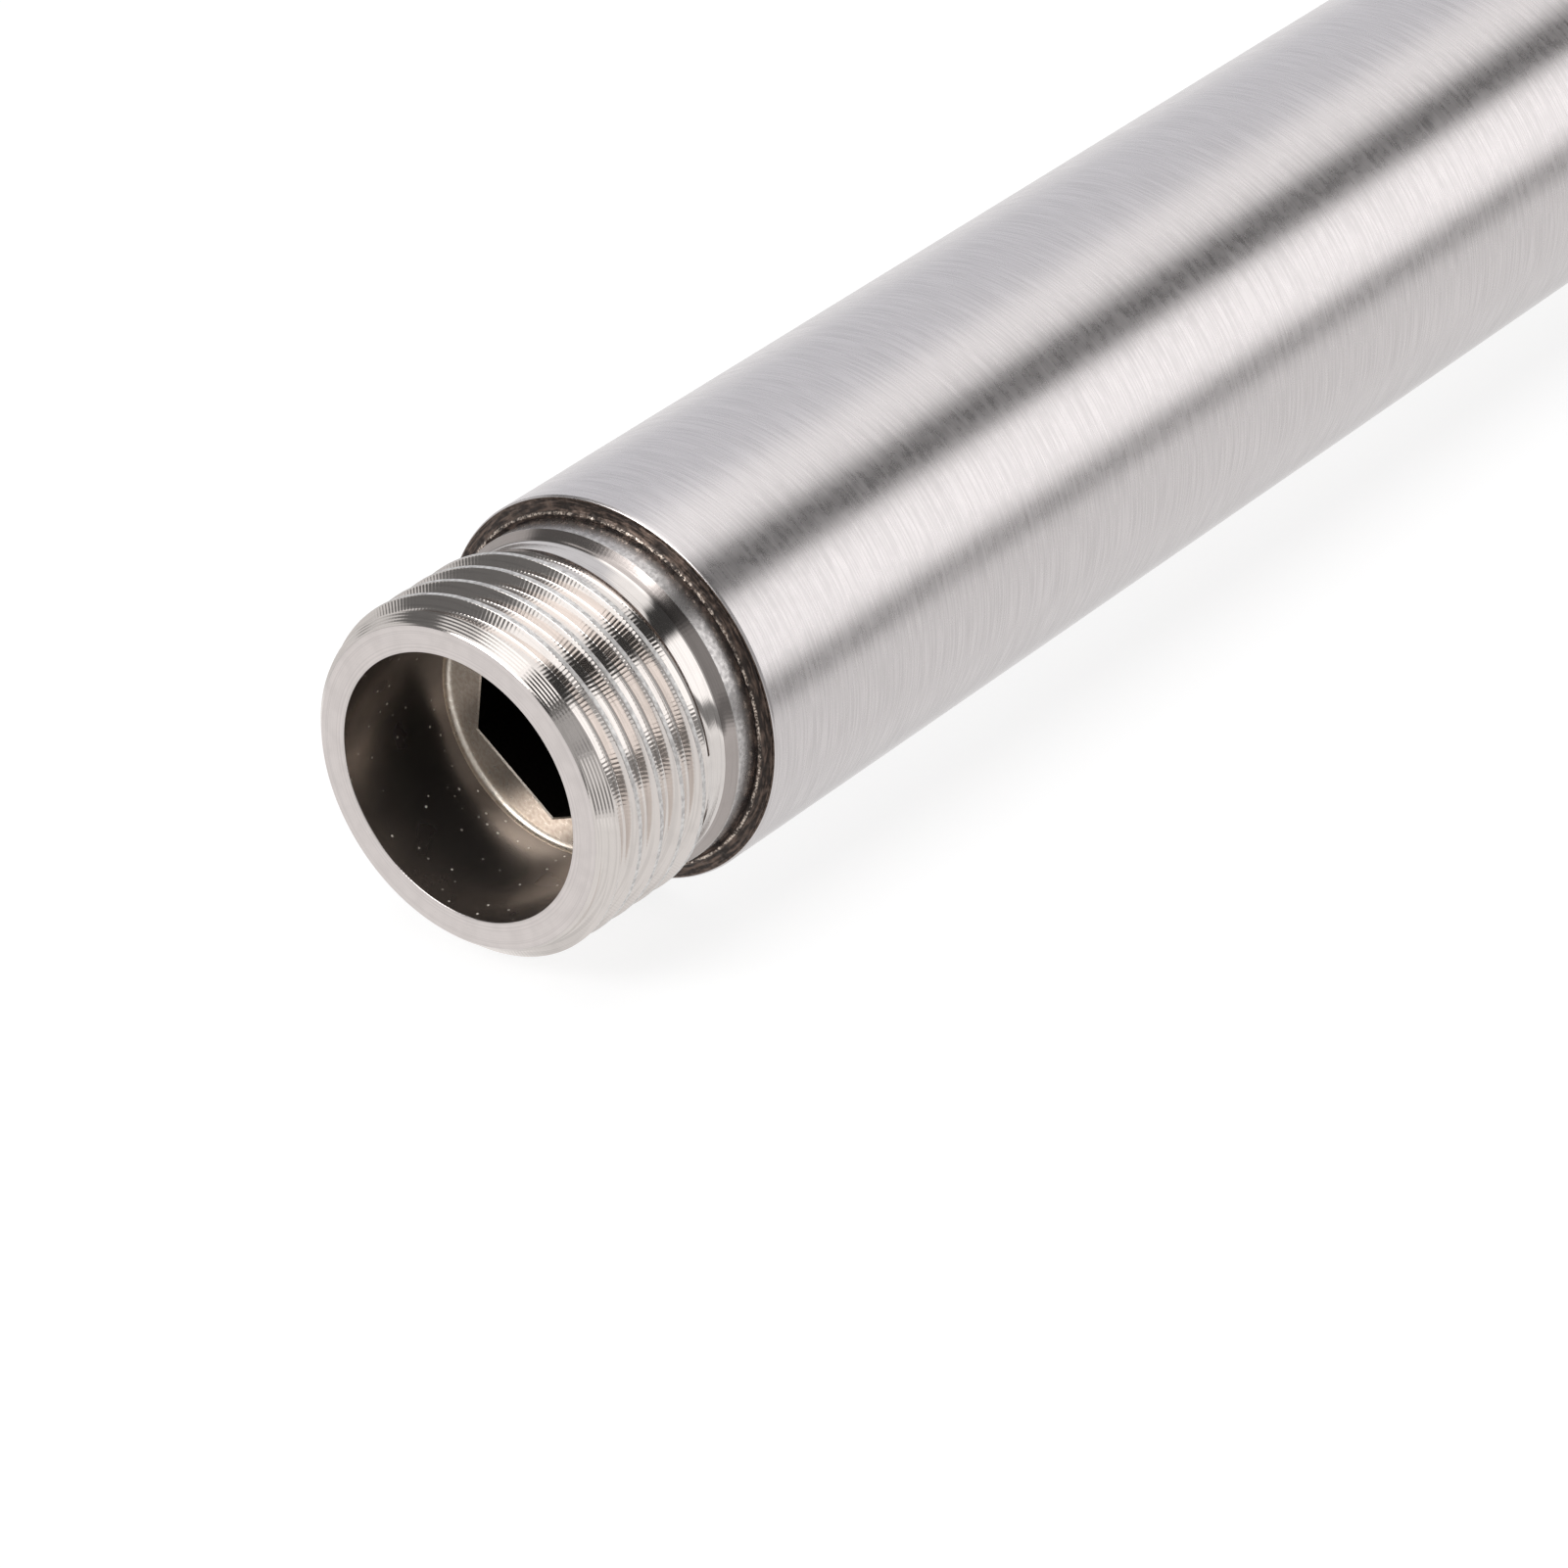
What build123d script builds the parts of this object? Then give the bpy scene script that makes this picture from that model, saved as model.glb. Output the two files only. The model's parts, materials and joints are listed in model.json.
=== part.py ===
from build123d import *

import os

# A straight shower arm: a brushed tube with a threaded nipple brazed into each end.
# All sizes are in millimetres. The arm lies along +X, with +Z up. The origin is the centre of
# the inlet nipple's end face, so the inlet mouth opens towards -X and the outlet mouth towards +X.

# The arm, from one end face to the other
ARM_LENGTH = 200.0

# The tube
TUBE_DIAMETER = 23.0
TUBE_WALL = 1.2
TUBE_EDGE_RADIUS = 0.2

# The nipple's thread, outside the tube
THREAD_DIAMETER = 20.955
THREAD_LENGTH = 8.35
THREAD_CHAMFER = 0.95

# The relief groove behind the thread: a long sweep down to the floor, and a short bevel up again
RELIEF_LENGTH = 3.05
RELIEF_DEPTH = 0.73
RELIEF_SWEEP = 1.4
RELIEF_BEVEL = 0.5

# The plain collar between the groove and the tube
COLLAR_LENGTH = 1.6

# The nipple inside the tube: a spigot in the tube's bore, with a gap that the braze runs into
SPIGOT_LENGTH = 9.0
SPIGOT_CHAMFER = 0.6
BRAZE_GAP = 0.05

# The waterway through the nipple: a round bore, a bevelled corner, and a broached key socket,
# one of whose corners points the given angle from +Y towards +Z
BORE_WALL = 2.5275
BORE_DEPTH = 8.7
BORE_CORNER_BEVEL = 0.4
KEY_ACROSS_FLATS = 11.2
KEY_CORNER_ANGLE = 35.8

# The bead of braze that shows round the collar, on the tube's end face
BRAZE_HEIGHT = 0.4
BRAZE_TOE = 0.08

# Worked out from the sizes above
tube_radius = TUBE_DIAMETER / 2
tube_bore_radius = tube_radius - TUBE_WALL
spigot_radius = tube_bore_radius - BRAZE_GAP
thread_radius = THREAD_DIAMETER / 2
relief_radius = thread_radius - RELIEF_DEPTH
bore_radius = thread_radius - BORE_WALL
collar_start = THREAD_LENGTH + RELIEF_LENGTH
tube_start = collar_start + COLLAR_LENGTH
nipple_length = tube_start + SPIGOT_LENGTH
tube_length = ARM_LENGTH - 2 * tube_start
bead_radius = tube_radius - TUBE_EDGE_RADIUS

# The tube, cut square, with the outer edge of each rim rounded
with BuildPart() as arm_tube:
    with BuildSketch(Plane.YZ.offset(tube_start)):
        Circle(tube_radius)
        Circle(tube_bore_radius, mode=Mode.SUBTRACT)
    extrude(amount=tube_length)
    outer_rims = arm_tube.edges().filter_by(GeomType.CIRCLE).group_by(SortBy.RADIUS)[-1]
    fillet(outer_rims, TUBE_EDGE_RADIUS)

# The nipple is turned from bar: its outside and its bore are one section, spun about the arm.
# The thread is left plain here at its full diameter.
with BuildPart() as nipple:
    with BuildSketch():
        with BuildLine():
            Polyline(
                (0, bore_radius),
                (0, thread_radius - THREAD_CHAMFER),
                (THREAD_CHAMFER, thread_radius),
                (THREAD_LENGTH, thread_radius),
            )
            TangentArc(
                (THREAD_LENGTH + RELIEF_SWEEP, relief_radius),
                (THREAD_LENGTH, thread_radius),
                tangent=(-1, 0),
            )
            Polyline(
                (THREAD_LENGTH + RELIEF_SWEEP, relief_radius),
                (collar_start - RELIEF_BEVEL, relief_radius),
                (collar_start, spigot_radius),
                (nipple_length - SPIGOT_CHAMFER, spigot_radius),
                (nipple_length, spigot_radius - SPIGOT_CHAMFER),
                (nipple_length, 0),
                (BORE_DEPTH, 0),
                (BORE_DEPTH, bore_radius - BORE_CORNER_BEVEL),
                (BORE_DEPTH - BORE_CORNER_BEVEL, bore_radius),
                (0, bore_radius),
            )
        make_face()
    revolve(axis=Axis.X)
    with BuildSketch(Plane.YZ.offset(nipple_length)):
        RegularPolygon(KEY_ACROSS_FLATS / 2, 6, major_radius=False, rotation=KEY_CORNER_ANGLE)
    extrude(amount=BORE_DEPTH - nipple_length, mode=Mode.SUBTRACT)

# The bead fills the corner between the collar and the tube's end face, and thins towards the rim
with BuildPart() as braze_ring:
    with BuildSketch():
        with BuildLine():
            Polyline(
                (tube_start - BRAZE_HEIGHT, spigot_radius),
                (tube_start, spigot_radius),
                (tube_start, bead_radius),
                (tube_start - BRAZE_TOE, bead_radius),
                close=True,
            )
        make_face()
    revolve(axis=Axis.X)

# Each end has its own nipple and bead: the outlet's are the inlet's turned end for end
inlet_place = Location((0, 0, 0))
outlet_place = Location((ARM_LENGTH, 0, 0), (0, 0, 180))

pieces = {"arm_tube": arm_tube.part}
for end_name, end_place in (("inlet", inlet_place), ("outlet", outlet_place)):
    with BuildPart() as end_nipple:
        with Locations(end_place):
            add(nipple.part)
    with BuildPart() as end_braze:
        with Locations(end_place):
            add(braze_ring.part)
    pieces[f"{end_name}_nipple"] = end_nipple.part
    pieces[f"{end_name}_braze_ring"] = end_braze.part

os.makedirs("parts", exist_ok=True)
for piece_name, piece in pieces.items():
    piece.label = piece_name
    export_step(piece, f"parts/{piece_name}.step")
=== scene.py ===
"""A straight shower arm for its picture: a brushed tube with a nipple brazed into each end.

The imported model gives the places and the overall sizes. What is modelled here replaces its plain
solids with the turned, threaded, brushed and brazed surfaces of the real arm. Sizes of the turned
sections are in millimetres, and everything is built in metres.
"""

import json
import logging
import math
from collections.abc import Callable, Sequence
from dataclasses import dataclass, field
from enum import Enum

import bpy
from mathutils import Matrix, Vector


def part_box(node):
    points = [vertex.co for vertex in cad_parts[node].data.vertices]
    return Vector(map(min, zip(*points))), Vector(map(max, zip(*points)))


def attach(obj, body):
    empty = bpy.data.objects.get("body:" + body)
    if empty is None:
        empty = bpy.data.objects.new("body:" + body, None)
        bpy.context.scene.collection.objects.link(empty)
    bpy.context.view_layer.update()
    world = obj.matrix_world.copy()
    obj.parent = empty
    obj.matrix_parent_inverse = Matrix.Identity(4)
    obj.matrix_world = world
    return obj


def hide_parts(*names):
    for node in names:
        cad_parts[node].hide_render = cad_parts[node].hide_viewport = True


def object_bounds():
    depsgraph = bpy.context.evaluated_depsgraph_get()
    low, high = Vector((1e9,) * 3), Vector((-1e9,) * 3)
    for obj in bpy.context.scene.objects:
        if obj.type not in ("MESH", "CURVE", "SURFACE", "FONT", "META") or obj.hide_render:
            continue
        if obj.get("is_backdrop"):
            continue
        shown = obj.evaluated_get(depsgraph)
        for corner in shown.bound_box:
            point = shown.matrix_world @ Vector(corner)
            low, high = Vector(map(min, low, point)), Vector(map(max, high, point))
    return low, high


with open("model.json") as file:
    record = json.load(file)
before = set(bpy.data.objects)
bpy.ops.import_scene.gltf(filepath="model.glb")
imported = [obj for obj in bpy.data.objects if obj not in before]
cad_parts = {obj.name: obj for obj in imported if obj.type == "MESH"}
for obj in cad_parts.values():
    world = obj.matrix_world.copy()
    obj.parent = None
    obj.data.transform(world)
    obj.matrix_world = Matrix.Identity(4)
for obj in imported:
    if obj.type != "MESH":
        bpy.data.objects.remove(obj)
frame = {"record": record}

log = logging.getLogger("shower_arm")

MM = 0.001
MICRON = 0.000001
FULL_TURN = 360.0
BODY = "root"

# The largest turn between two points of a rounded corner, in degrees, the fewest stretches that
# a corner is drawn with, and the stretches that draw one ridge
ARC_STEP = 15.0
ARC_STRETCHES = 2
RIDGE_STRETCHES = 4

# Edges sharper than this are shaded sharp, in degrees
SHARP_EDGE = 30.0

# A face stands square to the arm where its normal's x is over this
SQUARE = 0.9

# The value that noise lies about
NOISE_MIDDLE = 0.5

Point = tuple[float, float]
Span = tuple[float, float]
Scale = tuple[float, float, float]
Colour = tuple[float, float, float]
Piece = bpy.types.Object


def turned_by(angle: float, radius: float) -> tuple[float, float]:
    """Gives the (y, z) place of a point at an angle from +Z towards -Y about the arm.

    Args:
        angle: the angle in degrees.
        radius: the distance from the arm's axis.

    Returns:
        The y and z of the point, in the radius's own unit.
    """
    return -radius * math.sin(math.radians(angle)), radius * math.cos(math.radians(angle))


def scaled(colour: Colour, share: float) -> Colour:
    """Multiplies each part of a colour."""
    return tuple(share * part for part in colour)


class Number:
    """A number in a shader: a node's socket, whose operators add the Math nodes."""

    def __init__(self, nodes: "Nodes", socket: bpy.types.NodeSocket) -> None:
        """Wraps a socket of a node tree."""
        self.nodes = nodes
        self.socket = socket

    def math(self, operation: str, *values: "Number | float") -> "Number":
        """Adds a Math node with this number first.

        Args:
            operation: the Math node's operation.
            values: its other inputs, in order.

        Returns:
            The node's result.
        """
        sockets = dict(enumerate((self, *values)))
        return self.nodes.number("ShaderNodeMath", {"operation": operation}, sockets)

    def __add__(self, other: "Number | float") -> "Number":
        """Adds a number."""
        return self.math("ADD", other)

    def __sub__(self, other: "Number | float") -> "Number":
        """Takes a number away."""
        return self.math("SUBTRACT", other)

    def __rsub__(self, other: float) -> "Number":
        """Takes this away from a plain number."""
        return self.math("MULTIPLY", -1.0).math("ADD", other)

    def __mul__(self, other: "Number | float") -> "Number":
        """Multiplies by a number."""
        return self.math("MULTIPLY", other)

    def size(self) -> "Number":
        """Drops the sign."""
        return self.math("ABSOLUTE")

    def sine(self) -> "Number":
        """Gives the sine of this angle, in radians."""
        return self.math("SINE")

    def step(self, low: float, high: float) -> "Number":
        """Eases from 0 at low to 1 at high, or from 1 to 0 where high is the lower of the two."""
        sockets = {"Value": self, "From Min": low, "From Max": high, "To Min": 0.0, "To Max": 1.0}
        settings = {"interpolation_type": "SMOOTHSTEP"}
        if low > high:
            sockets |= {"From Min": high, "From Max": low, "To Min": 1.0, "To Max": 0.0}
        return self.nodes.number("ShaderNodeMapRange", settings, sockets)


def angle_about(y: Number, z: Number) -> Number:
    """Gives the angle about the arm, from +Z towards +Y, in radians."""
    return y.math("ARCTAN2", z)


def distance_from_axis(y: Number, z: Number) -> Number:
    """Gives the distance from the arm's axis."""
    return (y * y + z * z).math("SQRT")


@dataclass(frozen=True)
class Grain:
    """One kind of noise over a metal.

    The scale is how many features there are to the metre, along x, y and z or along all three,
    and the detail is how many finer layers they have. The height is what the grain adds to the
    surface, in micrometres, and the gloss what it adds to the roughness. It changes the colour
    between the tone's two values, as far as the depth says.
    """

    scale: float | Scale
    detail: float
    height: float = 0.0
    gloss: float = 0.0
    tone: Span = (0.0, 1.0)
    depth: float = 1.0


class Layer(Number):
    """A grain's noise in a node tree."""

    def __init__(self, nodes: "Nodes", socket: bpy.types.NodeSocket, grain: Grain) -> None:
        """Keeps the grain with its noise."""
        super().__init__(nodes, socket)
        self.grain = grain

    def height(self) -> Number:
        """Gives what the grain adds to the surface, in micrometres."""
        return self * self.grain.height

    def gloss(self) -> Number:
        """Gives what the grain adds to the roughness."""
        return (self - NOISE_MIDDLE) * self.grain.gloss

    def tone(self) -> Number:
        """Gives how far the grain changes the colour."""
        return self.step(*self.grain.tone) * self.grain.depth


class Nodes:
    """The node tree of a material or a world, cleared and filled again."""

    def __init__(self, tree: bpy.types.NodeTree) -> None:
        """Takes over a node tree."""
        self.tree = tree
        tree.nodes.clear()

    def node(
        self, kind: str, settings: dict | None = None, sockets: dict | None = None
    ) -> bpy.types.Node:
        """Adds one node.

        Args:
            kind: the node's type.
            settings: its properties.
            sockets: a value or a link for each input, by name or number.

        Returns:
            The new node.
        """
        made = self.tree.nodes.new(kind)
        for name, value in (settings or {}).items():
            setattr(made, name, value)
        for name, value in (sockets or {}).items():
            self._feed(made.inputs[name], value)
        return made

    def number(
        self, kind: str, settings: dict | None = None, sockets: dict | None = None
    ) -> Number:
        """Adds a node whose first output is wanted as a number."""
        return Number(self, self.node(kind, settings, sockets).outputs[0])

    def mix(self, share: Number, first: object, second: object) -> bpy.types.NodeSocket:
        """Mixes two colours.

        Args:
            share: how much of the second colour there is.
            first: a colour or a colour socket.
            second: a colour or a colour socket.

        Returns:
            The mixed colour's socket.
        """
        sockets = {0: share, 6: first, 7: second}
        return self.node("ShaderNodeMix", {"data_type": "RGBA"}, sockets).outputs[2]

    def split(self, vector: bpy.types.NodeSocket) -> tuple[Number, ...]:
        """Gives a vector's x, y and z."""
        parts = self.node("ShaderNodeSeparateXYZ", None, {0: vector})
        return tuple(Number(self, out) for out in parts.outputs)

    def vector(self, *parts: Number) -> bpy.types.NodeSocket:
        """Makes a vector from its first parts, with 0 for the others."""
        return self.node("ShaderNodeCombineXYZ", None, dict(enumerate(parts))).outputs[0]

    def place(self) -> tuple[bpy.types.NodeSocket, Number, Number, Number]:
        """Gives the point on the piece, as a vector and as its x, y and z."""
        point = self.node("ShaderNodeTexCoord").outputs["Object"]
        return point, *self.split(point)

    def seen_by(self, *rays: str) -> Number:
        """Gives 1 to the kinds of ray named, as Light Path names them, and 0 to the others."""
        path = self.node("ShaderNodeLightPath")
        first, *others = (Number(self, path.outputs[f"Is {ray} Ray"]) for ray in rays)
        for other in others:
            first = first.math("MAXIMUM", other)
        return first

    def layer(self, point: bpy.types.NodeSocket, grain: Grain) -> Layer:
        """Adds a grain's noise, which follows a vector."""
        scale = grain.scale if isinstance(grain.scale, tuple) else (grain.scale,) * 3
        stretched = self.node("ShaderNodeMapping", None, {"Vector": point, "Scale": scale})
        sockets = {"Vector": stretched.outputs[0], "Scale": 1.0, "Detail": grain.detail}
        noise = self.node("ShaderNodeTexNoise", {"noise_dimensions": "3D"}, sockets)
        return Layer(self, noise.outputs[0], grain)

    def _feed(self, socket: bpy.types.NodeSocket, value: object) -> None:
        """Links a socket to a number or a socket, or sets its value."""
        source = value.socket if isinstance(value, Number) else value
        if isinstance(source, bpy.types.NodeSocket):
            self.tree.links.new(source, socket)
            return
        if socket.type == "RGBA" and len(source) == 3:
            source = (*source, 1.0)
        socket.default_value = source


@dataclass(frozen=True)
class Finish:
    """A metal finish. Each kind adds what varies over it in its own dress method."""

    name: str
    colour: Colour
    roughness: float
    metallic: float = 1.0

    def material(self) -> bpy.types.Material:
        """Makes the finish's material."""
        made = bpy.data.materials.new(self.name)
        made.use_nodes = True
        nodes = Nodes(made.node_tree)
        shader = nodes.node(
            "ShaderNodeBsdfPrincipled",
            None,
            {"Base Color": self.colour, "Roughness": self.roughness, "Metallic": self.metallic},
        )
        nodes.node("ShaderNodeOutputMaterial", None, {"Surface": shader.outputs[0]})
        self.dress(nodes, shader)
        return made

    def dress(self, nodes: Nodes, shader: bpy.types.Node) -> None:
        """Links what varies over the finish to its shader."""
        raise NotImplementedError

    def link(self, nodes: Nodes, shader: bpy.types.Node, **inputs: object) -> None:
        """Links a shader's inputs, named with underscores for their spaces."""
        for name, value in inputs.items():
            socket = shader.inputs[name.replace("_", " ").title()]
            nodes.tree.links.new(getattr(value, "socket", value), socket)

    @staticmethod
    def bump(nodes: Nodes, height: Number) -> bpy.types.NodeSocket:
        """Turns a height in micrometres into a bumped normal."""
        sockets = {"Height": height, "Distance": MICRON, "Strength": 1.0}
        return nodes.node("ShaderNodeBump", None, sockets).outputs["Normal"]


@dataclass(frozen=True)
class BrushedFinish(Finish):
    """Satin metal, brushed round a tube of the given radius by a fine belt."""

    girth_radius: float = 0.0115
    hair: Grain = Grain((8200, 240, 1), 2.0, height=1.1, tone=(0.36, 0.64))
    stroke: Grain = Grain((2600, 420, 1), 4.0, height=0.75, gloss=0.10)
    mottle: Grain = Grain(1500, 3.0, height=1.8, gloss=0.12)
    dulled: float = 0.88

    def dress(self, nodes: Nodes, shader: bpy.types.Node) -> None:
        """Adds straight hairlines round the tube, broader strokes and a soft mottle."""
        point, x, y, z = nodes.place()
        belt = nodes.vector(x, angle_about(y, z) * self.girth_radius)
        hair = nodes.layer(belt, self.hair)
        stroke = nodes.layer(belt, self.stroke)
        mottle = nodes.layer(point, self.mottle)
        self.link(
            nodes,
            shader,
            base_color=nodes.mix(hair.tone(), self.colour, scaled(self.colour, self.dulled)),
            roughness=stroke.gloss() + mottle.gloss() + self.roughness,
            normal=self.bump(nodes, hair.height() + stroke.height() + mottle.height()),
        )


@dataclass(frozen=True)
class TurnedFinish(Finish):
    """Bright nickel over turned brass, with the tool's fine lines and its chatter across them.

    The lines, the chatter and the grain are heights in micrometres. The chatter's pitch is in
    degrees round the piece, its slant in radians to the metre along it and its sway in radians.
    """

    lines: float = 0.3
    chatter: float = 3.0
    chatter_pitch: float = 1.45
    chatter_slant: float = 900.0
    chatter_sway: float = 6.0
    grain: float = 0.25
    sway: Grain = Grain((400, 260, 260), 1.0)
    patch: Grain = Grain((900, 420, 420), 2.0, tone=(0.2, 0.7))
    tool: Grain = Grain((11000, 120, 120), 2.0, tone=(0.50, 0.66), depth=0.8)
    fine: Grain = Grain(5200, 3.0)
    tarnish: Grain = Grain(900, 3.0, gloss=0.06, tone=(0.45, 0.75), depth=0.4)
    dulled: float = 0.87

    def dress(self, nodes: Nodes, shader: bpy.types.Node) -> None:
        """Adds tool lines round the piece, chatter along it and a slight grain."""
        point, x, y, z = nodes.place()
        grains = (self.sway, self.patch, self.tool, self.fine, self.tarnish)
        sway, patch, tool, fine, tarnish = (nodes.layer(point, grain) for grain in grains)
        phase = angle_about(y, z) * (FULL_TURN / self.chatter_pitch)
        waves = (phase + x * self.chatter_slant + sway * self.chatter_sway).sine()
        height = tool * self.lines + waves * patch.tone() * self.chatter + fine * self.grain
        marks = tarnish.tone() + tool.tone()
        self.link(
            nodes,
            shader,
            base_color=nodes.mix(marks, self.colour, scaled(self.colour, self.dulled)),
            roughness=tarnish.gloss() + self.roughness,
            normal=self.bump(nodes, height),
        )


@dataclass(frozen=True)
class FacedFinish(Finish):
    """A faced end: rings left by the tool, dulled by handling."""

    rings: Grain = Grain((9500, 1, 1), 3.0, height=2.4, tone=(0.44, 0.62), depth=0.9)
    fine: Grain = Grain(7000, 3.0, height=0.7, gloss=0.12)
    patch: Grain = Grain(900, 4.0, tone=(0.35, 0.7), depth=0.5)
    dulled: float = 0.86

    def dress(self, nodes: Nodes, shader: bpy.types.Node) -> None:
        """Adds the rings about the axis and a fine grain."""
        point, _, y, z = nodes.place()
        rings = nodes.layer(nodes.vector(distance_from_axis(y, z)), self.rings)
        fine = nodes.layer(point, self.fine)
        marks = nodes.layer(point, self.patch).tone() + rings.tone()
        self.link(
            nodes,
            shader,
            base_color=nodes.mix(marks, self.colour, scaled(self.colour, self.dulled)),
            roughness=fine.gloss() + self.roughness,
            normal=self.bump(nodes, rings.height() + fine.height()),
        )


@dataclass(frozen=True)
class RoughFinish(Finish):
    """Metal left rough and mottled by heat, acid or a dull plate. Its pits are in micrometres."""

    stain: Colour = (0.3, 0.28, 0.27)
    pits: float = 3.0
    pitting: Grain = Grain(9000, 3.0)
    mottle: Grain = Grain(3800, 5.0, gloss=0.3, tone=(0.36, 0.68))

    def dress(self, nodes: Nodes, shader: bpy.types.Node) -> None:
        """Adds pits, a mottled stain and a change of gloss with it."""
        point, *_ = nodes.place()
        pitting = nodes.layer(point, self.pitting)
        mottle = nodes.layer(point, self.mottle)
        self.link(
            nodes,
            shader,
            base_color=nodes.mix(mottle.tone(), self.colour, self.stain),
            roughness=mottle.gloss() + self.roughness,
            normal=self.bump(nodes, pitting * self.pits),
        )


@dataclass(frozen=True)
class BoreFinish(Finish):
    """The inside of a bore, glossy, with a scatter of bright specks.

    Its dark colour is partly brown oxide and partly painted shade of the deep bore. The specks are
    painted glints: bright colour where the metal is taken away. A speck fades out from its middle
    between the edge's two distances, in cells. Each cell's own value gives its speck's strength,
    from none to full.
    """

    # The specks' colour, a painted glint
    speck: Colour = (0.95, 0.88, 0.78)
    specks_to_metre: float = 1900.0
    speck_edge: Span = (0.21, 0.10)
    speck_strength: Span = (0.62, 0.95)
    wall_metallic: float = 0.92
    cloud: Grain = Grain(260, 3.0, gloss=0.15, tone=(0.35, 0.75))
    fine: Grain = Grain(2600, 3.0, height=0.6)
    dulled: float = 0.8

    def dress(self, nodes: Nodes, shader: bpy.types.Node) -> None:
        """Adds the specks, which are painted glints, and a slow change of tone along the bore."""
        point, *_ = nodes.place()
        sockets = {"Vector": point, "Scale": self.specks_to_metre, "Randomness": 1.0}
        cells = nodes.node("ShaderNodeTexVoronoi", {"feature": "F1"}, sockets).outputs
        lot = nodes.number("ShaderNodeSeparateColor", None, {0: cells["Color"]})
        near = Number(nodes, cells["Distance"]).step(*self.speck_edge)
        # Painted glints: bright specks of colour, with the metal taken away under them
        specks = near * lot.step(*self.speck_strength)
        cloud = nodes.layer(point, self.cloud)
        wall = nodes.mix(cloud.tone(), self.colour, scaled(self.colour, self.dulled))
        self.link(
            nodes,
            shader,
            base_color=nodes.mix(specks, wall, self.speck),
            metallic=self.wall_metallic - specks * self.wall_metallic,
            roughness=cloud.gloss() + self.roughness,
            normal=self.bump(nodes, nodes.layer(point, self.fine).height()),
        )


@dataclass(frozen=True)
class BrazeFinish(Finish):
    """Burnt braze: dark and crackled, streaked round the joint, with glints painted in pale colour
    along its ridge.

    The girth's radius and the spans over which the ridge starts and ends are in millimetres, and
    the streaks' scale is to the millimetre.
    """

    brown: Colour = (0.19, 0.14, 0.115)
    # The pale colour of the glints, a painted highlight
    glint: Colour = (0.84, 0.72, 0.62)
    girth_radius: float = 10.8
    ridge_start: Span = (10.45, 10.52)
    ridge_end: Span = (10.69, 10.61)
    streak: Grain = Grain((6.0, 0.9, 1.0), 4.0, tone=(0.42, 0.68))
    blotch: Grain = Grain(1900, 4.0, height=30.0, tone=(0.38, 0.56))
    fine: Grain = Grain(7500, 3.0, height=16.0, tone=(0.42, 0.58))
    blotch_roughness: float = 0.3
    glint_polish: float = 0.2

    def dress(self, nodes: Nodes, shader: bpy.types.Node) -> None:
        """Adds the brown streaks, the crackle, and the painted glints: pale colour where the bead
        stands highest.
        """
        point, _, y, z = nodes.place()
        radius = distance_from_axis(y, z) * (1 / MM)
        belt = nodes.vector(radius, angle_about(y, z) * self.girth_radius)
        blotch = nodes.layer(point, self.blotch)
        fine = nodes.layer(point, self.fine)
        ridge = radius.step(*self.ridge_start) * radius.step(*self.ridge_end)
        # Painted glints: pale colour on the ridge's crackle, in place of highlights
        glints = ridge * blotch.tone() * fine.tone()
        burnt = nodes.mix(nodes.layer(belt, self.streak).tone(), self.colour, self.brown)
        rough = blotch * self.blotch_roughness + self.roughness - glints * self.glint_polish
        self.link(
            nodes,
            shader,
            base_color=nodes.mix(glints, burnt, self.glint),
            roughness=rough,
            normal=self.bump(nodes, blotch.height() + fine.height()),
        )


class Zone(Enum):
    """The nipple's differently finished surfaces. Some of their colours hold painted light or
    shade.
    """

    THREAD = TurnedFinish("plated_thread", (0.80, 0.745, 0.71), 0.10)
    CREST = RoughFinish("drawn_crest", (0.86, 0.84, 0.825), 0.50, stain=(0.60, 0.58, 0.57))
    CHAMFER = TurnedFinish("turned_chamfer", (0.80, 0.745, 0.71), 0.12, chatter=0.3)
    FACE = FacedFinish("faced_end", (0.71, 0.655, 0.635), 0.30)
    RELIEF = TurnedFinish("turned_relief", (0.80, 0.75, 0.72), 0.10, chatter=0.0, lines=1.0)
    # The bevel is given a darker colour than the relief beside it
    BEVEL = TurnedFinish(
        "darker_bevel", (0.46, 0.415, 0.395), 0.16, chatter=0.4, lines=1.2, grain=1.2
    )
    COLLAR = RoughFinish("rough_collar", (0.72, 0.69, 0.677), 0.30, stain=(0.50, 0.475, 0.47))
    # Its dark colour is partly brown oxide and partly painted shade of the deep bore
    BORE = BoreFinish("drilled_bore", (0.30, 0.268, 0.25), 0.26)
    # The ledge's bright warm colour is painted light falling on the bottom of the bore
    LEDGE = RoughFinish("painted_light_ledge", (0.94, 0.86, 0.76), 0.32, stain=(0.80, 0.70, 0.60), pits=2.0)
    # The socket's near-black colour is painted shade in the deep key socket
    SOCKET = RoughFinish("painted_shade_socket", (0.05, 0.04, 0.035), 0.5, stain=(0.03, 0.025, 0.02))


TUBE_OUTSIDE = BrushedFinish("hairline_nickel", (0.755, 0.715, 0.713), 0.28)
# The tube's dark inside colour is painted shade
TUBE_INSIDE = RoughFinish("painted_shade_tube_inside", (0.22, 0.2, 0.18), 0.45, stain=(0.14, 0.12, 0.11))
TUBE_END = RoughFinish("burnt_tube_end", (0.16, 0.12, 0.1), 0.4, stain=(0.08, 0.06, 0.05))
BRAZE = BrazeFinish("crackled_braze", (0.052, 0.042, 0.038), 0.32, metallic=0.85)


@dataclass(frozen=True)
class Corner:
    """A corner of a turned section, in millimetres: its place, its radius and its rounding."""

    x: float
    r: float
    fillet: float = 0.0


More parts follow.
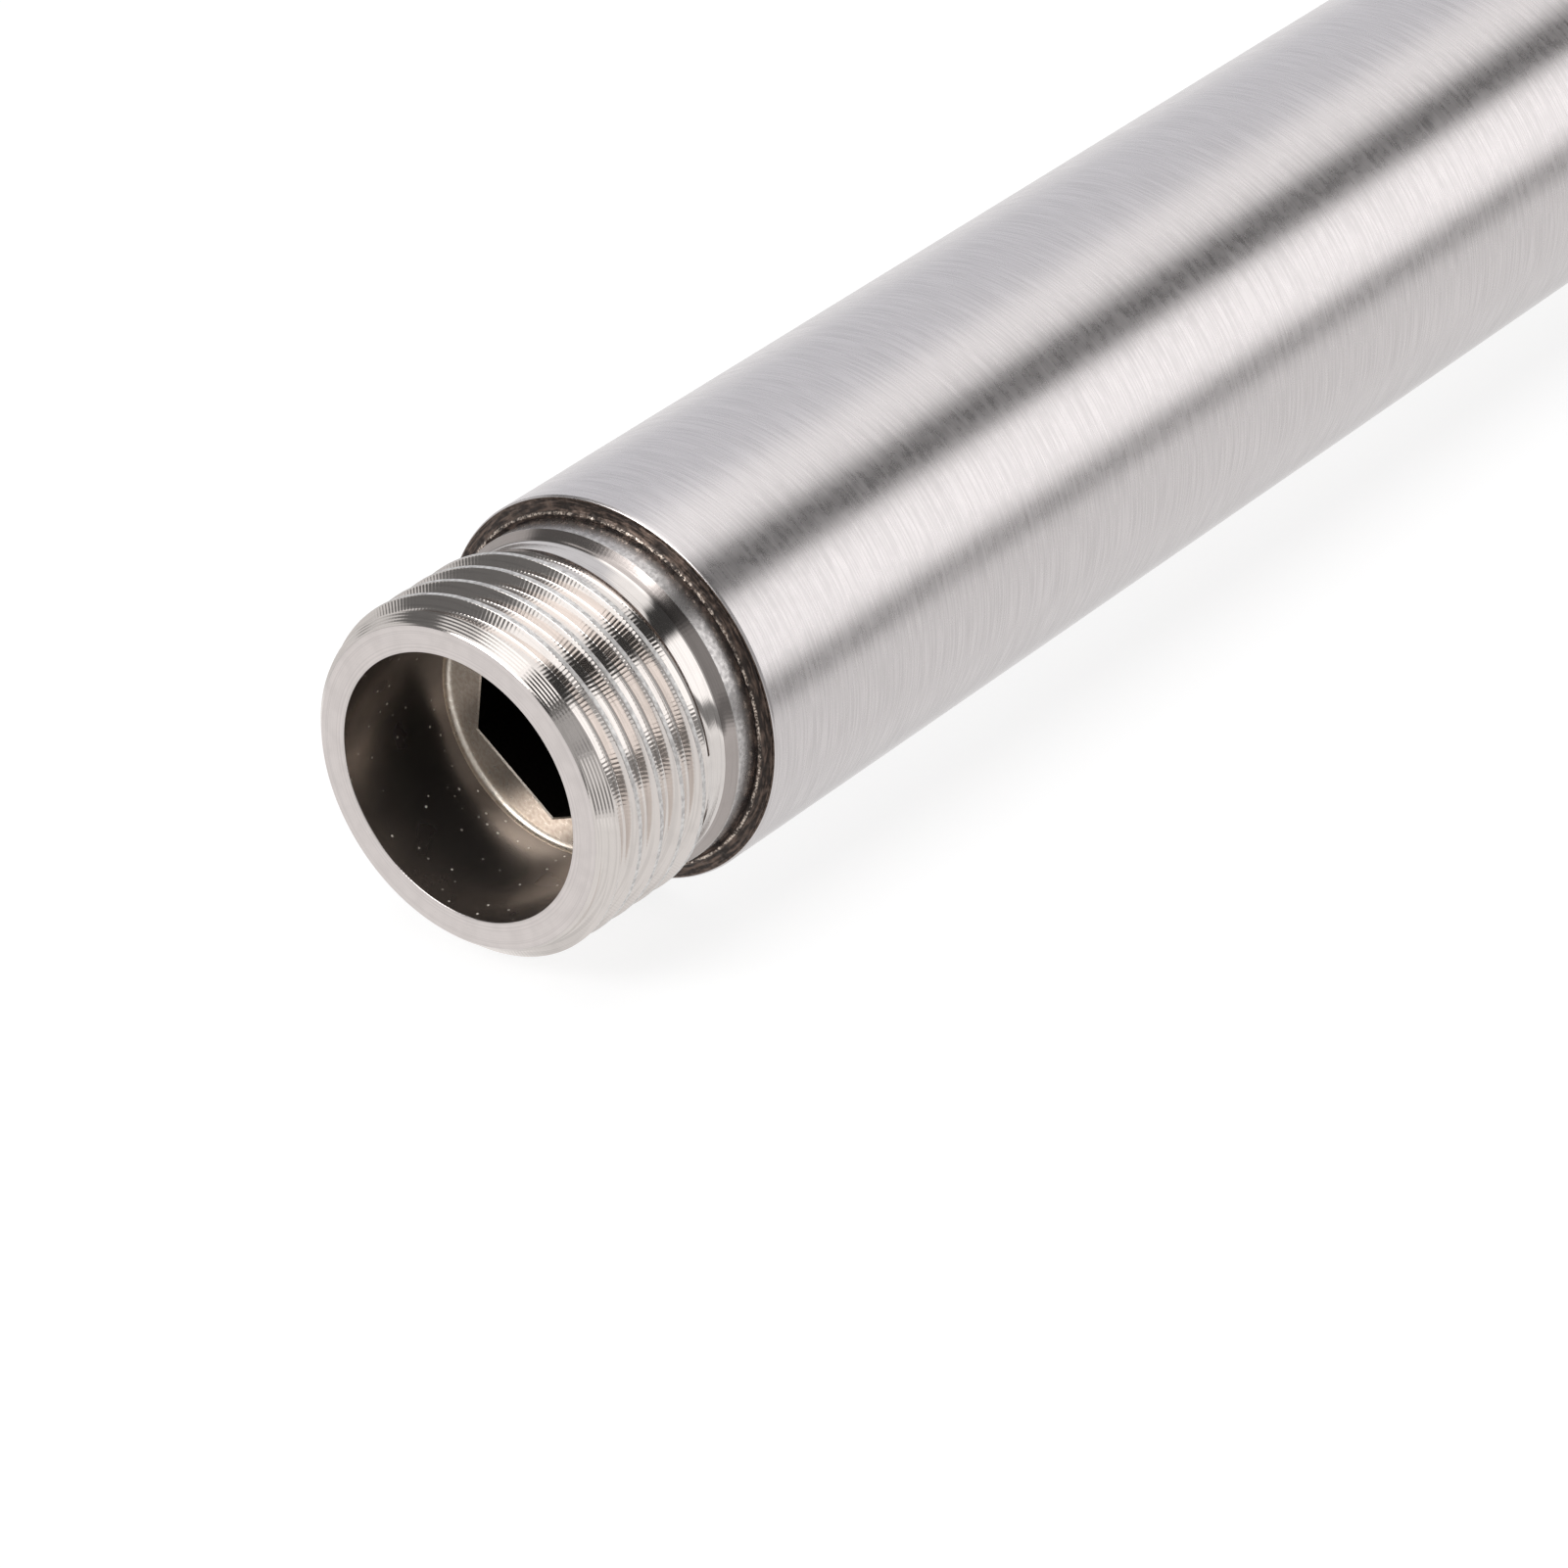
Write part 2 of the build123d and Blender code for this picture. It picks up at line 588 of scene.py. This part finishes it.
def ridged(start: Point, end: Point, pitch: float, height: float) -> list[Corner]:
    """Gives the corners of a straight stretch with the ridges that a turning tool leaves.

    Args:
        start: the stretch's first point, as x and radius in millimetres.
        end: its last point.
        pitch: the distance between two ridges.
        height: the ridges' height over the valleys.

    Returns:
        The corners, from start to end.
    """
    first, last = Vector(start), Vector(end)
    length = (last - first).length
    side = Vector((-(last - first).y, (last - first).x)) / length
    steps = RIDGE_STRETCHES * max(1, round(length / pitch))
    made = []
    for step in range(steps + 1):
        lift = height / 2 * math.sin(math.tau * step / RIDGE_STRETCHES)
        spot = first.lerp(last, step / steps) + side * lift
        made.append(Corner(spot.x, spot.y))
    return made


def outline_points(corners: list[Corner], closed: bool = False) -> list[Point]:
    """Rounds a section's corners.

    Args:
        corners: the section's corners, in order.
        closed: whether the last corner joins the first.

    Returns:
        The outline's points, as x and radius in millimetres.
    """
    spots = [Vector((corner.x, corner.r)) for corner in corners]
    made: list[Point] = []
    for index, corner in enumerate(corners):
        inner = closed or 0 < index < len(corners) - 1
        if corner.fillet == 0 or not inner:
            made.append((corner.x, corner.r))
            continue
        here = spots[index]
        back = (spots[index - 1] - here).normalized()
        ahead = (spots[(index + 1) % len(spots)] - here).normalized()
        half = back.angle(ahead) / 2
        reach = corner.fillet / math.tan(half)
        centre = here + (back + ahead).normalized() * (corner.fillet / math.sin(half))
        start, end = here + back * reach - centre, here + ahead * reach - centre
        sweep = math.atan2(start.x * end.y - start.y * end.x, start.dot(end))
        steps = max(ARC_STRETCHES, math.ceil(abs(math.degrees(sweep)) / ARC_STEP))
        for step in range(steps + 1):
            turn = sweep * step / steps
            cos, sin = math.cos(turn), math.sin(turn)
            x, r = start.x * cos - start.y * sin, start.x * sin + start.y * cos
            made.append((centre.x + x, centre.y + r))
    return made


def pick_only(piece: Piece) -> None:
    """Selects one object alone and makes it the active one."""
    bpy.ops.object.select_all(action="DESELECT")
    piece.select_set(True)
    bpy.context.view_layer.objects.active = piece


def drawn(name: str, points: list[Point], closed: bool, angle: float = 0.0) -> Piece:
    """Draws an outline by extruding a vertex from point to point.

    Args:
        name: the new object's name.
        points: the outline's points, as x and radius in millimetres.
        closed: whether the last point joins the first.
        angle: where round the arm it is drawn, in degrees from +Z towards -Y.

    Returns:
        The object, left in edit mode with all selected.
    """
    places = [Vector((x, *turned_by(angle, r))) * MM for x, r in points]
    bpy.ops.object.select_all(action="DESELECT")
    bpy.ops.mesh.primitive_plane_add(size=MM, location=places[0])
    piece = bpy.context.active_object
    piece.name = piece.data.name = name
    bpy.ops.object.transform_apply(location=True, rotation=False, scale=False)
    bpy.ops.object.mode_set(mode="EDIT")
    bpy.ops.mesh.select_all(action="SELECT")
    bpy.ops.mesh.merge(type="CENTER")
    for before, after in zip(places, places[1:]):
        bpy.ops.mesh.extrude_region_move(TRANSFORM_OT_translate={"value": after - before})
    if closed:
        bpy.ops.mesh.select_all(action="DESELECT")
        bpy.ops.object.mode_set(mode="OBJECT")
        piece.data.vertices[0].select = True
        piece.data.vertices[len(points) - 1].select = True
        bpy.ops.object.mode_set(mode="EDIT")
        bpy.ops.mesh.edge_face_add()
    bpy.ops.mesh.select_all(action="SELECT")
    return piece


def lathe(name: str, points: list[Point], closed: bool, segments: int) -> Piece:
    """Spins an outline once round the arm's axis.

    Args:
        name: the new object's name.
        points: the outline's points, as x and radius in millimetres.
        closed: whether the outline is a loop. An open one starts and ends on the axis.
        segments: how many faces go round.

    Returns:
        The turned piece, in object mode.
    """
    piece = drawn(name, points, closed)
    bpy.ops.mesh.spin(steps=segments, angle=math.tau, center=(0, 0, 0), axis=(1, 0, 0))
    bpy.ops.mesh.select_all(action="SELECT")
    bpy.ops.mesh.remove_doubles(threshold=MICRON)
    bpy.ops.mesh.normals_make_consistent(inside=False)
    bpy.ops.object.mode_set(mode="OBJECT")
    return piece


def apply_modifier(piece: Piece, kind: str, **settings: object) -> None:
    """Adds a modifier to a piece and applies it."""
    pick_only(piece)
    modifier = piece.modifiers.new(kind.title(), kind)
    for name, value in settings.items():
        setattr(modifier, name, value)
    bpy.ops.object.modifier_apply(modifier=modifier.name)


def cut(piece: Piece, cutter: Piece) -> None:
    """Takes a cutter's solid out of a piece and deletes the cutter."""
    apply_modifier(piece, "BOOLEAN", operation="DIFFERENCE", object=cutter, solver="EXACT")
    bpy.data.objects.remove(cutter)


def shade(piece: Piece, angle: float = SHARP_EDGE) -> None:
    """Shades a piece smooth, except over edges sharper than an angle in degrees."""
    pick_only(piece)
    bpy.ops.object.shade_smooth_by_angle(angle=math.radians(angle))


def turned_end_for_end(piece: Piece, name: str, length: float) -> Piece:
    """Copies a piece to the arm's other end, turned half round about a vertical line.

    Args:
        piece: the inlet's piece.
        name: the copy's name.
        length: the arm's length in metres.

    Returns:
        The outlet's piece.
    """
    copy = piece.copy()
    copy.data = piece.data.copy()
    copy.name = copy.data.name = name
    bpy.context.scene.collection.objects.link(copy)
    pick_only(copy)
    bpy.ops.object.mode_set(mode="EDIT")
    bpy.ops.mesh.select_all(action="SELECT")
    bpy.ops.transform.resize(value=(-1, -1, 1), center_override=(length / 2, 0, 0))
    bpy.ops.mesh.normals_make_consistent(inside=False)
    bpy.ops.object.mode_set(mode="OBJECT")
    return copy


def finished(piece: Piece, node: str) -> Piece:
    """Makes a piece part of the arm, in place of its plain solid."""
    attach(piece, BODY)
    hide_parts(node)
    log.info("%s stands for %s with %d faces", piece.name, node, len(piece.data.polygons))
    return piece


def zoned(
    piece: Piece, finishes: Sequence[Finish], choose: Callable[[Vector, Vector], Finish]
) -> None:
    """Gives a piece its finishes, and each face the one that suits its place.

    Args:
        piece: the piece.
        finishes: its finishes, in the order of its material slots.
        choose: takes a face's centre, as x and radius in millimetres, and its normal, and
            gives its finish.
    """
    piece.data.materials.clear()
    for finish in finishes:
        piece.data.materials.append(bpy.data.materials.get(finish.name) or finish.material())
    for face in piece.data.polygons:
        radius = math.hypot(face.center.y, face.center.z)
        spot = Vector((face.center.x / MM, radius / MM))
        face.material_index = finishes.index(choose(spot, face.normal))


@dataclass
class ArmTube:
    """The brushed tube, cut square, with a rounded rim at each end. Sizes are in millimetres."""

    wall: float = 1.2
    rim_round: float = 0.2
    bore_round: float = 0.1
    segments: int = 256
    rings: int = 12

    def build(self) -> list[Piece]:
        """Builds the tube, with rings along it that keep its faces short."""
        low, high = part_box("arm_tube")
        start, end, outer = low.x / MM, high.x / MM, high.z / MM
        inner = outer - self.wall
        stretch = end - start
        corners = [
            Corner(start, inner, self.bore_round),
            Corner(start, outer, self.rim_round),
            *(Corner(start + stretch * ring / self.rings, outer) for ring in range(1, self.rings)),
            Corner(end, outer, self.rim_round),
            Corner(end, inner, self.bore_round),
        ]
        piece = lathe("tube", outline_points(corners, closed=True), True, self.segments)
        shade(piece)

        def choose(spot: Vector, normal: Vector) -> Finish:
            """Tells the inside, the square ends and the outside apart."""
            if spot.y < outer - self.wall + self.bore_round / 2:
                return TUBE_INSIDE
            return TUBE_END if abs(normal.x) > SQUARE else TUBE_OUTSIDE

        zoned(piece, (TUBE_OUTSIDE, TUBE_INSIDE, TUBE_END), choose)
        return [finished(piece, "arm_tube")]


@dataclass
class PipeThread:
    """The right-handed groove of a parallel pipe thread, in millimetres and degrees.

    A crest is level over its flat, then slopes down to its width, where the flanks start. The
    supports are the shares of a flank where an edge holds its shape. The crest's place is for the
    top of the arm, and the groove starts the given turns before it.
    """

    pitch: float = 1.814
    depth: float = 0.72
    flank: float = 27.5
    crest_flat: float = 0.14
    crest_width: float = 0.30
    crest_slope: float = 5.0
    crest_round: float = 0.06
    root_round: float = 0.16
    flank_supports: tuple[float, ...] = (0.2, 0.9)
    crest_at: float = 2.178
    start_angle: float = 200.0
    turns: int = 7
    turns_before: int = 4
    steps: int = 180
    clearance: float = 0.3

    def cutter(self, radius: float) -> Piece:
        """Builds the solid that cuts the groove.

        Args:
            radius: the radius over the crests, in millimetres.

        Returns:
            A closed helical bar, in place.
        """
        slope = math.tan(math.radians(self.crest_slope))
        crossing = self.pitch / 2 - self.crest_flat / 2
        shoulder = self.pitch / 2 - self.crest_width / 2
        drop = (crossing - shoulder) * slope
        root = shoulder - (self.depth - drop) * math.tan(math.radians(self.flank))
        overlap = self.crest_flat / 4
        edge, lift = crossing + overlap, overlap * slope
        low, high = Vector((root, radius - self.depth)), Vector((shoulder, radius - drop))
        right = [
            Corner(*low, self.root_round),
            *(Corner(*low.lerp(high, share)) for share in self.flank_supports),
            Corner(*high, self.crest_round),
            Corner(edge, radius + lift),
            Corner(edge, radius + self.clearance),
        ]
        left = [Corner(-corner.x, corner.r, corner.fillet) for corner in reversed(right)]
        turned = self.start_angle / FULL_TURN
        centre = self.crest_at + self.pitch * (0.5 - self.turns_before + turned)
        points = [(centre + x, r) for x, r in outline_points(left + right, closed=True)]
        piece = drawn("thread_cutter", points, True, self.start_angle)
        bpy.ops.object.mode_set(mode="OBJECT")
        apply_modifier(
            piece,
            "SCREW",
            axis="X",
            angle=math.tau,
            screw_offset=self.pitch * MM,
            iterations=self.turns,
            steps=self.steps,
            render_steps=self.steps,
            use_smooth_shade=True,
        )
        bpy.ops.object.mode_set(mode="EDIT")
        bpy.ops.mesh.select_all(action="SELECT")
        bpy.ops.mesh.fill_holes(sides=0)
        bpy.ops.mesh.select_all(action="SELECT")
        bpy.ops.mesh.normals_make_consistent(inside=False)
        bpy.ops.object.mode_set(mode="OBJECT")
        return piece


@dataclass
class ThreadedNipple:
    """The turned nipple: face, bore, key socket, chamfer, thread, groove, collar and spigot.

    Its sizes are in millimetres. The key corner's angle is in degrees, from +Y towards +Z.
    """

    thread: PipeThread = field(default_factory=PipeThread)
    thread_length: float = 8.35
    chamfer: float = 0.95
    chamfer_round: float = 0.04
    ridge_pitch: float = 0.18
    ridge_height: float = 0.026
    relief_length: float = 3.05
    relief_depth: float = 0.73
    relief_sweep: float = 1.4
    relief_step: float = 0.02
    relief_plain: float = 0.42
    relief_bevel: float = 0.5
    relief_round: float = 0.6
    relief_ridge_pitch: float = 0.10
    relief_ridge_height: float = 0.003
    collar_drop: float = 0.2275
    spigot_chamfer: float = 0.6
    bore_depth: float = 8.7
    bore_corner: float = 0.4
    mouth_round: float = 0.07
    key_across_flats: float = 11.2
    key_corner_angle: float = 35.8
    key_break: float = 0.09
    key_sides: int = 6
    key_overrun: float = 1.0
    segments: int = 256

    # How far past the section's corners the zones of finish reach, in millimetres, and how much
    # of the bore's corner belongs to the ledge
    socket_margin: float = 0.01
    ledge_margin: float = 0.2
    ledge_corner: float = 0.95
    bore_margin: float = 0.001
    edge_margin: float = 0.02
    chamfer_margin: float = 0.03
    bevel_margin: float = 0.05

    def __post_init__(self) -> None:
        """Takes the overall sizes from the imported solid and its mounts."""
        low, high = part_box("inlet_nipple")
        mounts = {mount["name"]: mount for mount in frame["record"]["mounts"]}
        self.length = (high.x - low.x) / MM
        self.radius = high.z / MM
        self.bore = mounts["inlet_bore"]["dims"]["r_mm"]
        self.collar_at = self.thread_length + self.relief_length
        self.key_radius = self.key_across_flats / 2 / math.cos(math.pi / self.key_sides)

    def build(self) -> list[Piece]:
        """Builds the inlet's nipple and its copy at the outlet."""
        outline = outline_points(self._section())
        inlet = lathe("inlet_threaded_nipple", outline, False, self.segments)
        cut(inlet, self._key_cutter())
        cut(inlet, self.thread.cutter(self.radius))
        shade(inlet)
        finishes = [zone.value for zone in Zone]
        zoned(inlet, finishes, lambda spot, normal: self._zone(spot.x, spot.y).value)
        outlet = turned_end_for_end(inlet, "outlet_threaded_nipple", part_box("outlet_nipple")[1].x)
        return [
            finished(inlet, "inlet_nipple"),
            finished(outlet, "outlet_nipple"),
        ]

    def _section(self) -> list[Corner]:
        """Gives half the nipple's section, from the ledge's centre round to the spigot's end."""
        neck = self.radius - self.relief_depth
        collar = self.radius - self.collar_drop
        slope = 2 * math.atan(self.relief_depth / self.relief_sweep)
        corner = self.thread_length + self.relief_depth / math.tan(slope)
        sweep = (self.thread_length + self.relief_sweep - corner) / math.tan(slope / 2)
        floor_start = self.thread_length + self.relief_sweep
        floor_end = self.collar_at - self.relief_bevel
        step_at = floor_end - self.relief_plain
        inset = 2 * self.chamfer_round
        return [
            Corner(self.bore_depth, 0),
            Corner(self.bore_depth, self.bore, self.bore_corner),
            Corner(0, self.bore, self.mouth_round),
            Corner(0, self.radius - self.chamfer, self.chamfer_round),
            *ridged(
                (inset, self.radius - self.chamfer + inset),
                (self.chamfer - inset, self.radius - inset),
                self.ridge_pitch,
                self.ridge_height,
            ),
            Corner(self.chamfer, self.radius, self.chamfer_round),
            Corner(self.thread_length, self.radius),
            Corner(corner, neck, sweep),
            *ridged(
                (floor_start + self.relief_ridge_pitch, neck),
                (step_at, neck),
                self.relief_ridge_pitch,
                self.relief_ridge_height,
            ),
            Corner(step_at + self.relief_step, neck - self.relief_step),
            Corner(floor_end, neck, self.relief_round),
            Corner(self.collar_at, collar, self.chamfer_round),
            Corner(self.length - self.spigot_chamfer, collar),
            Corner(self.length, collar - self.spigot_chamfer),
            Corner(self.length, 0),
        ]

    def _key_cutter(self) -> Piece:
        """Builds the hexagonal bar that cuts the key socket, flared to break the ledge's edge."""
        corner_radius = self.key_radius * MM
        start, end = self.bore_depth * MM, (self.length + self.key_overrun) * MM
        bpy.ops.object.select_all(action="DESELECT")
        bpy.ops.mesh.primitive_cylinder_add(
            vertices=self.key_sides,
            radius=corner_radius,
            depth=end - start,
            location=((start + end) / 2, 0, 0),
            rotation=(0, math.pi / 2, 0),
        )
        piece = bpy.context.active_object
        bpy.ops.object.transform_apply(location=True, rotation=True, scale=True)
        bpy.ops.object.mode_set(mode="EDIT")
        bpy.ops.mesh.select_all(action="SELECT")
        first = piece.data.vertices[0].co
        turn = math.radians(self.key_corner_angle) - math.atan2(first.z, first.y)
        bpy.ops.transform.rotate(value=-turn, orient_axis="X", center_override=(0, 0, 0))
        bpy.ops.mesh.select_all(action="DESELECT")
        bpy.ops.object.mode_set(mode="OBJECT")
        for face in piece.data.polygons:
            face.select = face.normal.x < -SQUARE
        bpy.ops.object.mode_set(mode="EDIT")
        depth = self.key_break * MM
        flare = 1 + depth / corner_radius
        bpy.ops.transform.translate(value=(depth, 0, 0))
        for grow in (flare, 1 + 2 * (flare - 1)):
            bpy.ops.mesh.extrude_region_move(TRANSFORM_OT_translate={"value": (-depth, 0, 0)})
            bpy.ops.transform.resize(value=(1, grow, grow), center_override=(0, 0, 0))
        bpy.ops.object.mode_set(mode="OBJECT")
        return piece

    def _zone(self, x: float, r: float) -> Zone:
        """Names the zone at a place in the section."""
        ledge = self.bore_depth - self.bore_corner * self.ledge_corner
        chamfer = self.radius - self.chamfer - self.chamfer_margin
        bevel = self.collar_at - self.relief_bevel
        if x > self.bore_depth + self.socket_margin and r < self.key_radius + self.socket_margin:
            return Zone.SOCKET
        if r < self.bore + self.mouth_round / 2 and x > ledge:
            return Zone.LEDGE if x < self.bore_depth + self.ledge_margin else Zone.SOCKET
        if r < self.bore + self.bore_margin:
            return Zone.BORE
        if x < self.edge_margin:
            return Zone.FACE
        if x < self.chamfer + self.edge_margin and r - x > chamfer:
            return Zone.CHAMFER
        if r > self.radius - self.edge_margin and x < self.thread_length:
            return Zone.CREST
        if x < self.thread_length + self.relief_sweep / 2:
            return Zone.THREAD
        if x < bevel - self.bevel_margin:
            return Zone.RELIEF
        if x < self.collar_at - self.edge_margin:
            return Zone.BEVEL
        return Zone.COLLAR


@dataclass
class BrazeRing:
    """The bead of burnt braze between the collar and the tube's end, uneven along its run.

    It rises from a groove at the collar to a ridge, and thins to a film at the toe. Its sizes are
    in millimetres, the film's supports are shares of its width, and the sharp edge is in degrees.
    """

    ridge_height: float = 0.30
    ridge_drop: float = 0.30
    ridge_width: float = 0.52
    ridge_flat: Span = (0.03, 0.04)
    ridge_round: float = 0.04
    toe_rise: float = 1.4
    toe_round: float = 0.06
    film: float = 0.09
    film_supports: tuple[float, ...] = (0.2, 0.4, 0.6, 0.8)
    film_round: float = 0.03
    groove: float = 0.04
    uneven: float = 0.12
    lump_size: float = 0.28
    lump_layers: int = 3
    lump_middle: float = 0.6
    sharp_edge: float = 60.0
    segments: int = 900

    def build(self) -> list[Piece]:
        """Builds the inlet's bead and its copy at the outlet."""
        _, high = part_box("inlet_braze_ring")
        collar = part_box("inlet_nipple")[1].z / MM - ThreadedNipple.collar_drop
        face, rim = high.x / MM, high.z / MM
        crown, skin, toe = face - self.ridge_height, face - self.film, collar + self.ridge_width
        middle = collar + self.ridge_drop
        before, after = self.ridge_flat
        stretch = rim - collar - self.ridge_width
        corners = [
            Corner(face, collar),
            Corner(skin, collar),
            Corner(skin, collar + self.groove),
            Corner(crown, middle - before, self.ridge_round),
            Corner(crown, middle + after, self.ridge_round),
            Corner(face - self.film * self.toe_rise, toe, self.toe_round),
            *(Corner(skin, toe + share * stretch) for share in self.film_supports),
            Corner(skin, rim, self.film_round),
            Corner(face, rim),
        ]
        inlet = lathe("inlet_braze_bead", outline_points(corners, closed=True), True, self.segments)
        self._roughen(inlet)
        shade(inlet, self.sharp_edge)
        zoned(inlet, (BRAZE,), lambda spot, normal: BRAZE)
        outlet = turned_end_for_end(inlet, "outlet_braze_bead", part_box("outlet_nipple")[1].x)
        return [
            finished(inlet, "inlet_braze_ring"),
            finished(outlet, "outlet_braze_ring"),
        ]

    def _roughen(self, piece: Piece) -> None:
        """Pushes the bead's skin in and out."""
        lumps = bpy.data.textures.new("braze_lumps", "CLOUDS")
        lumps.noise_scale = self.lump_size * MM
        lumps.noise_depth = self.lump_layers
        apply_modifier(
            piece,
            "DISPLACE",
            texture=lumps,
            texture_coords="LOCAL",
            strength=self.uneven * MM,
            mid_level=self.lump_middle,
        )


@dataclass
class Floor:
    """The plain pale floor that the arm lies on."""

    half_size: float = 3.0
    glow: float = 0.80
    colour: Colour = (0.30, 0.30, 0.30)

    def build(self) -> None:
        """Builds the floor under the arm, as a stage."""
        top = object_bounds()[0].z
        bpy.ops.object.select_all(action="DESELECT")
        bpy.ops.mesh.primitive_plane_add(size=2 * self.half_size, location=(0, 0, top))
        floor = bpy.context.active_object
        floor.name = "floor"
        bpy.ops.object.transform_apply(location=True, rotation=False, scale=False)
        floor.data.materials.append(self._material())
        floor.visible_glossy = False
        floor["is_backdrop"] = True

    def _material(self) -> bpy.types.Material:
        """Makes a white surface that still shows the arm's shadow."""
        made = bpy.data.materials.new("pale_floor")
        made.use_nodes = True
        nodes = Nodes(made.node_tree)
        shown = nodes.seen_by("Camera", "Glossy", "Transmission")
        glow = nodes.node("ShaderNodeEmission", None, {"Strength": shown * self.glow})
        matt = nodes.node("ShaderNodeBsdfDiffuse", None, {"Color": self.colour})
        both = nodes.node("ShaderNodeAddShader", None, {0: glow.outputs[0], 1: matt.outputs[0]})
        nodes.node("ShaderNodeOutputMaterial", None, {"Surface": both.outputs[0]})
        return made


@dataclass(frozen=True)
class Strip:
    """A long light or a dark card beside the arm, as the metal sees it.

    The centre, the half width and the edge go about the arm, from +Z towards -Y, in degrees. The
    reach is along the arm's direction, from -1 to 1. From the photo's camera the tube mirrors
    what lies at a reach of 0.67, a face that leans towards the inlet what lies lower, and a face
    that leans away from it what lies higher.
    """

    centre: float
    half_width: float
    edge: float
    level: float
    reach: Span = (-2.0, 2.0)
    reach_edge: float = 0.25
    tint: Colour = (1.0, 1.0, 1.0)


@dataclass
class Studio:
    """The white backdrop, with the softboxes and cards that the metal mirrors before it."""

    surround: float = 0.72
    strips: tuple[Strip, ...] = (
        # The even light round the back and below
        Strip(-60, 50, 10, 0.72, tint=(0.98, 1.0, 1.05)),
        Strip(-172, 18, 12, 0.72),
        Strip(148, 38, 10, 0.81),
        Strip(-120, 28, 44, 0.97),
        # The light above, brighter for faces that lean towards the inlet
        Strip(-3, 15, 18, 1.06),
        Strip(-6, 20, 12, 1.42, reach=(-2.0, 0.52), reach_edge=0.10),
        # The light in front, dim for faces that lean far towards the inlet
        Strip(64, 26, 5, 0.44),
        Strip(64, 26, 6, 1.30, reach=(0.38, 2.0), reach_edge=0.08),
        # The two cards that draw the tube's dark lines
        Strip(28, 12.5, 8, 0.045),
        Strip(96, 8.5, 7, 0.24),
        # Cards and lights at one reach each, which the tube doesn't mirror: they shape the
        # thread's flanks, the relief groove, the chamfer and the ledge
        Strip(-63, 39, 14, 0.15, reach=(-2.0, 0.40), reach_edge=0.10),
        Strip(-45, 25, 10, 0.30, reach=(0.88, 2.0), reach_edge=0.06),
        Strip(-92, 24, 8, 0.70, reach=(-0.50, 0.30), reach_edge=0.10),
        Strip(-32, 12, 8, 0.95, reach=(-0.17, 0.02), reach_edge=0.06),
        Strip(-30, 24, 12, 1.20, reach=(-2.0, -0.87), reach_edge=0.06),
        Strip(-20, 26, 12, 5.50, reach=(-0.84, -0.60), reach_edge=0.06),
    )

    def build(self) -> None:
        """Fills the world. The camera sees the white backdrop alone, without the strips."""
        world = bpy.data.worlds.new("studio")
        bpy.context.scene.world = world
        world.use_nodes = True
        nodes = Nodes(world.node_tree)
        x, y, z = nodes.split(nodes.node("ShaderNodeTexCoord").outputs["Generated"])
        around = angle_about(y * -1.0, z) * math.degrees(1.0)
        backdrop = nodes.seen_by("Camera", "Glossy", "Transmission")
        colour = nodes.mix(backdrop, (self.surround,) * 3, (1.0, 1.0, 1.0))
        placed = 1.0 - nodes.seen_by("Camera", "Transmission")
        for strip in self.strips:
            mask = self._mask(strip, around, x) * placed
            colour = nodes.mix(mask, colour, scaled(strip.tint, strip.level))
        sky = nodes.node("ShaderNodeBackground", None, {"Color": colour, "Strength": 1.0})
        nodes.node("ShaderNodeOutputWorld", None, {"Surface": sky.outputs[0]})

    @staticmethod
    def _mask(strip: Strip, around: Number, along: Number) -> Number:
        """Gives how much of a strip shows in a direction."""
        away = (around - strip.centre).math("WRAP", 180.0, -180.0).size()
        soft = strip.edge / 2
        mask = away.step(strip.half_width + soft, strip.half_width - soft)
        low, high = strip.reach
        soft = strip.reach_edge / 2
        if low > -1:
            mask = mask * along.step(low - soft, low + soft)
        if high < 1:
            mask = mask * along.step(high + soft, high - soft)
        return mask


@dataclass
class PhotoCamera:
    """The camera, where the photograph was taken from. Its lens and sensor are in millimetres."""

    place: tuple[float, float, float] = (-0.24549, -0.21095, 0.20042)
    aim: tuple[float, float, float] = (0.01056, -0.01393, 0.00037)
    lens: float = 163.41
    sensor: float = 36.0
    clip: Span = (0.01, 20.0)

    def build(self) -> None:
        """Sets up the camera, level and with no shift."""
        data = bpy.data.cameras.new("photo_camera")
        data.lens = self.lens
        data.sensor_width = self.sensor
        data.clip_start, data.clip_end = self.clip
        camera = bpy.data.objects.new("photo_camera", data)
        bpy.context.scene.collection.objects.link(camera)
        camera.location = self.place
        camera.rotation_mode = "QUATERNION"
        towards = Vector(self.aim) - Vector(self.place)
        camera.rotation_quaternion = towards.to_track_quat("-Z", "Y")
        bpy.context.scene.camera = camera


def main() -> None:
    """Builds the arm, its stage and its camera."""
    logging.basicConfig(level=logging.INFO, format="%(name)s: %(message)s")
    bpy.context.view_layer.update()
    bpy.context.scene.view_settings.view_transform = "Standard"
    Floor().build()
    Studio().build()
    PhotoCamera().build()
    for part in (ArmTube(), ThreadedNipple(), BrazeRing()):
        for piece in part.build():
            log.info("built %s", piece.name)


if __name__ == "__main__":
    main()
